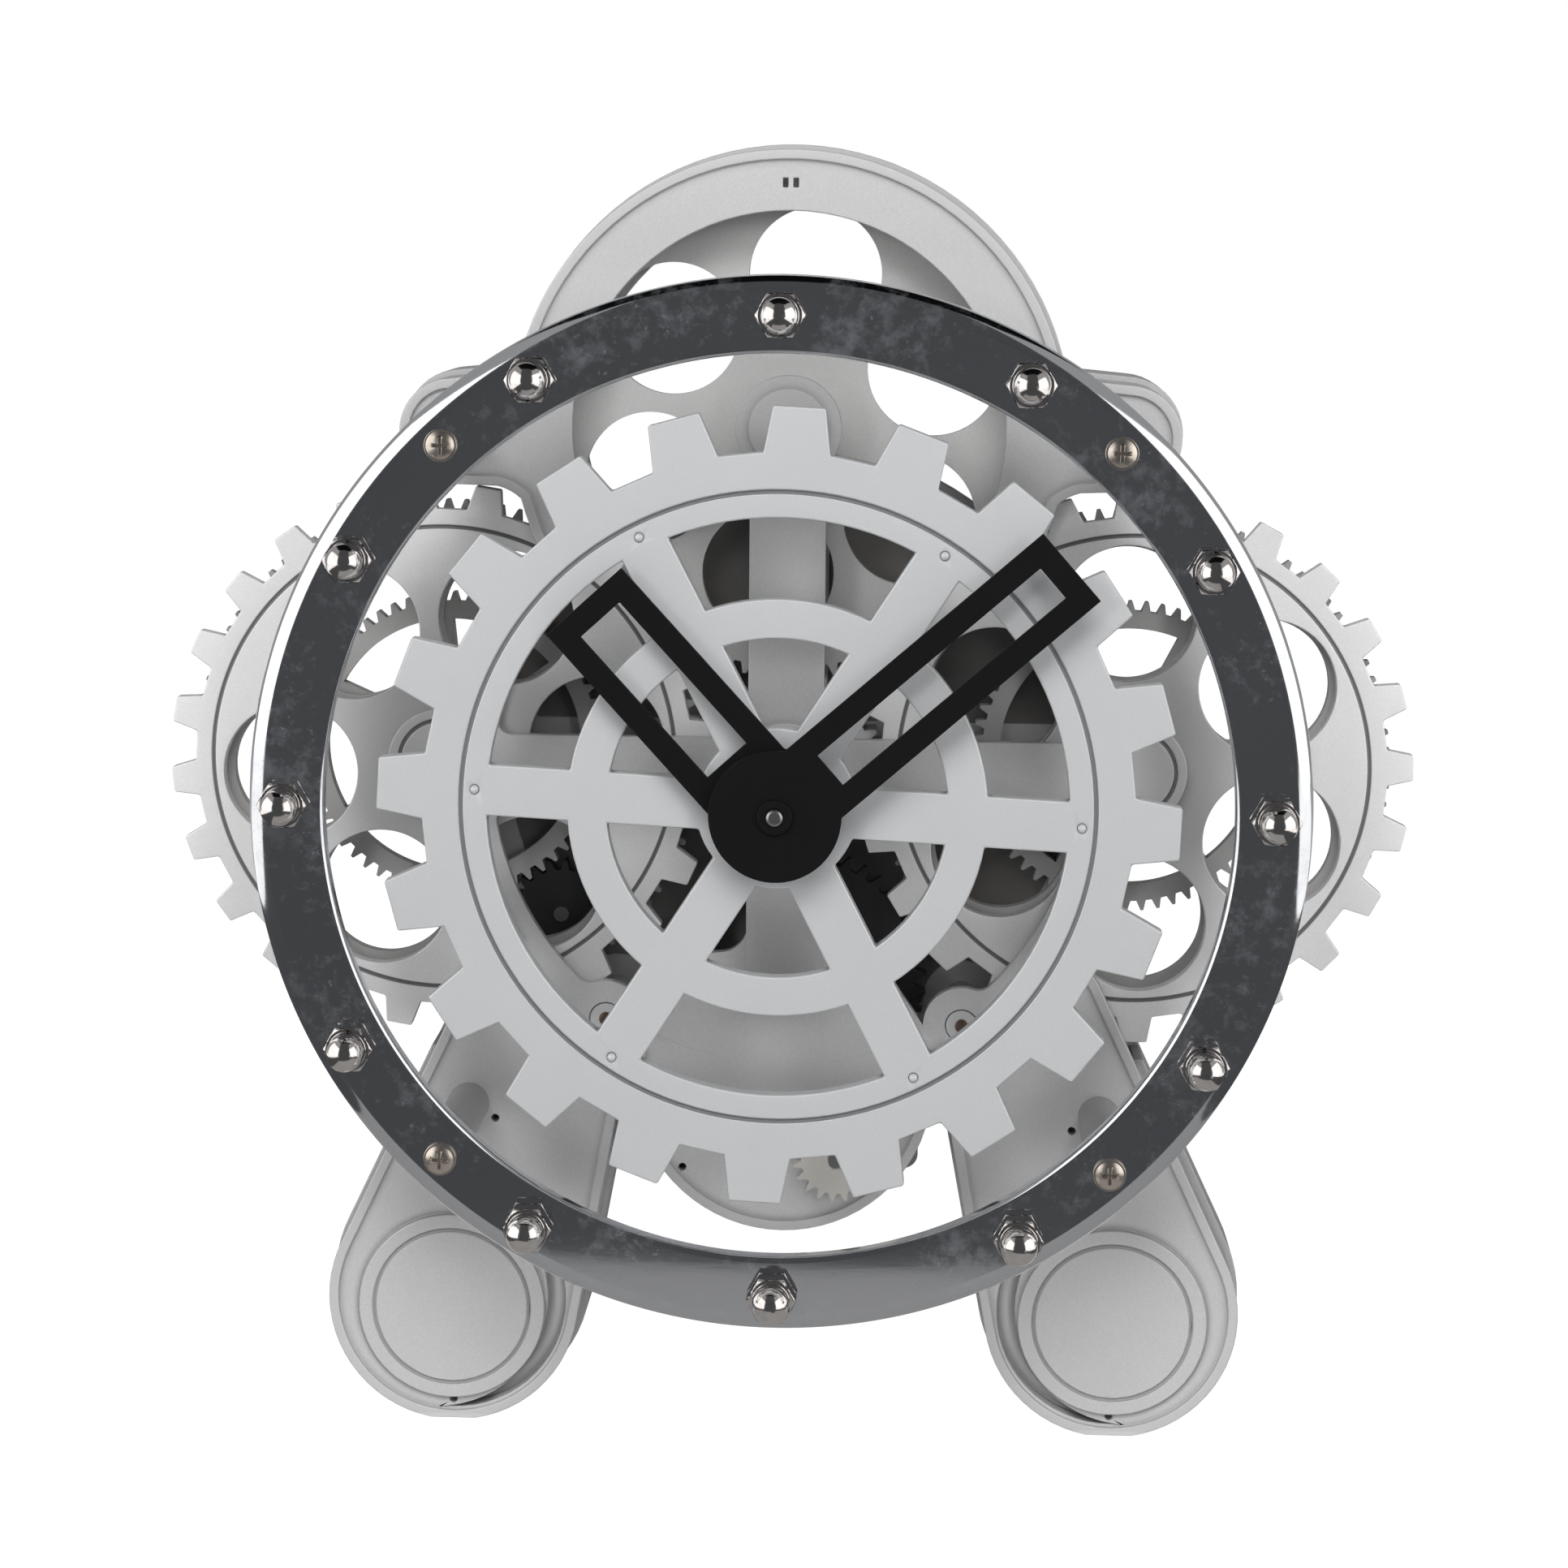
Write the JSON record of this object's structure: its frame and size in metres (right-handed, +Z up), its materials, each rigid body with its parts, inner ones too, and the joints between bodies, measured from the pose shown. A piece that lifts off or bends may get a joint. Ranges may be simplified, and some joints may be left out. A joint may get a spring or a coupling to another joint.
{
  "type": "table clock",
  "caption": "Skeleton table clock with a dark ring, black hands and large open gear wheels that turn together in a silver frame on two round feet.",
  "frame": {"origin": "on the table under the middle of the whole clock", "axes": "+X to the right seen from the front, +Y from the dial to the back, +Z up"},
  "size_m": [0.2413, 0.0968, 0.2504],
  "materials": {
    "ring_dark": "mirror-like dark slate lacquer",
    "nut_chrome": "polished",
    "steel": "turned",
    "brassy_screw": "dull plated",
    "wheel_silver": "fine satin silver",
    "gear_silver": "fine satin silver",
    "hand_black": "matt black",
    "pipe_brass": "turned",
    "dark_plastic": "fine grain",
    "ivory": "smooth",
    "frame_silver": "silver metallic coat",
    "frame_rear": "darker silver coat",
    "dark_screw": "dark bronze tone",
    "cell_wrap": "wrapped",
    "door_grey": "fine grain"
  },
  "bodies": {
    "stand": {"bezel_ring": "ring_dark", "cap_nuts": "nut_chrome", "nut_bolts": "steel", "ring_screws": "brassy_screw", "ring_posts": "steel", "post_screws": "steel", "planet_axles": "steel", "relay_pin": "steel", "gearbox_case": "dark_plastic", "drive_motor": "steel", "frame_front": "frame_silver", "frame_rear": "frame_rear", "frame_pillars": "frame_silver", "pillar_screws": "dark_screw", "movement_case": "dark_plastic", "movement_cell": "cell_wrap", "battery_box": "door_grey", "battery_cells": "cell_wrap", "battery_springs": "steel"},
    "main_wheel": {"front_wheel": "wheel_silver", "wheel_rivets": "wheel_silver", "wheel_tube": "steel", "centre_pinion": "gear_silver"},
    "hour": {"hour_hand": "hand_black", "hour_pipe": "pipe_brass"},
    "minute": {"minute_hand": "hand_black", "minute_arbor": "steel", "hand_collar": "hand_black"},
    "left_train": {"left_gear": "gear_silver", "left_fine_wheel": "gear_silver", "left_ring_gear": "gear_silver", "left_hub": "steel"},
    "right_train": {"right_gear": "gear_silver", "right_fine_wheel": "gear_silver", "right_ring_gear": "gear_silver", "right_hub": "steel"},
    "top_train": {"top_wheel": "gear_silver", "top_hub": "steel"},
    "motor_drive": {"drive_pinion": "dark_plastic", "motor_shaft": "steel"},
    "relay": {"relay_wheel": "dark_plastic"},
    "turning": {"turning_shaft": "steel", "shaft_wheel": "ivory", "front_pinion": "ivory"},
    "knob": {"setting_knob": "dark_plastic"},
    "door": {"battery_door": "door_grey"}
  },
  "joints": [
    {"name": "wheel_spin", "type": "hinge", "parent": "stand", "child": "main_wheel", "pos_m": [0, 0.00215, 0.129], "axis": [0, 1, 0], "continuous": true},
    {"name": "minute_spin", "type": "hinge", "parent": "stand", "child": "minute", "pos_m": [0, -0.03785, 0.129], "axis": [0, 1, 0], "continuous": true},
    {"name": "hour_spin", "type": "hinge", "parent": "stand", "child": "hour", "pos_m": [0, -0.03785, 0.129], "axis": [0, 1, 0], "continuous": true},
    {"name": "left_spin", "type": "hinge", "parent": "stand", "child": "left_train", "pos_m": [-0.06698, 0.01615, 0.13064], "axis": [0, 1, 0], "continuous": true},
    {"name": "right_spin", "type": "hinge", "parent": "stand", "child": "right_train", "pos_m": [0.06698, 0.01615, 0.13064], "axis": [0, 1, 0], "continuous": true},
    {"name": "top_spin", "type": "hinge", "parent": "stand", "child": "top_train", "pos_m": [0, 0.01615, 0.196], "axis": [0, 1, 0], "continuous": true},
    {"name": "motor_spin", "type": "hinge", "parent": "stand", "child": "motor_drive", "pos_m": [-0.04537, 0.02415, 0.09698], "axis": [0, 1, 0], "continuous": true},
    {"name": "relay_spin", "type": "hinge", "parent": "stand", "child": "relay", "pos_m": [0.00222, 0.01715, 0.08662], "axis": [0, 1, 0], "continuous": true},
    {"name": "turning_spin", "type": "hinge", "parent": "stand", "child": "turning", "pos_m": [0.01071, 0.01215, 0.05537], "axis": [0, 1, 0], "continuous": true},
    {"name": "knob_spin", "type": "hinge", "parent": "stand", "child": "knob", "pos_m": [0, 0.04615, 0.1402], "axis": [0, 1, 0], "continuous": true},
    {"name": "door_slide", "type": "slide", "parent": "stand", "child": "door", "axis": [1, 0, 0], "range_m": [0, 0.058]}
  ],
  "couplings": [
    {"joint": "left_spin", "follows": "wheel_spin", "ratio": -0.36364},
    {"joint": "right_spin", "follows": "wheel_spin", "ratio": -0.36364},
    {"joint": "top_spin", "follows": "wheel_spin", "ratio": -0.36364},
    {"joint": "motor_spin", "follows": "wheel_spin", "ratio": 1.0909},
    {"joint": "relay_spin", "follows": "wheel_spin", "ratio": -0.72727},
    {"joint": "turning_spin", "follows": "wheel_spin", "ratio": 2.2857},
    {"joint": "hour_spin", "follows": "minute_spin", "ratio": 0.083333},
    {"joint": "knob_spin", "follows": "minute_spin", "ratio": -1}
  ]
}
